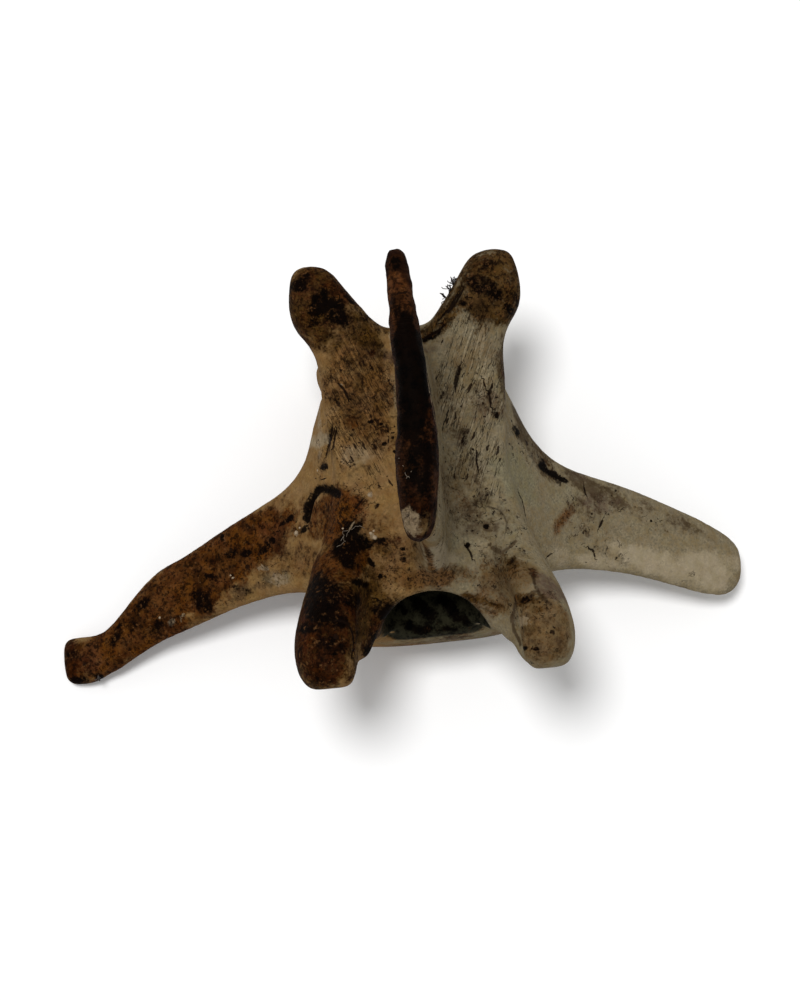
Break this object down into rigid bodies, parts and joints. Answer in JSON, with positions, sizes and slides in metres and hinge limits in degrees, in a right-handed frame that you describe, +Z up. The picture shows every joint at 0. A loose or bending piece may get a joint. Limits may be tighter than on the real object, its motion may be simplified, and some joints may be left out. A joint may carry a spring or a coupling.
{
  "type": "deer lumbar vertebra",
  "caption": "Dry, soil-stained lumbar vertebra of a deer: waisted body, arched canal, tall blade-like spine, side wings and paired joint processes, lying belly down.",
  "frame": {"origin": "middle of the underside of the bone's box, on the table that it lies on", "axes": "+X to the bone's right-hand side as seen from above with the tail end up, +Y towards its tail end, +Z up, through the tip of its spine"},
  "size_m": [0.0988, 0.056, 0.0581],
  "materials": {
    "weathered_bone": "dry weathered bone, matt, stained tan to rust brown and grey beige by soil, with pores, fine cracks and dark blotches"
  },
  "bodies": {
    "root": {"vertebra": "weathered_bone"}
  },
  "joints": []
}
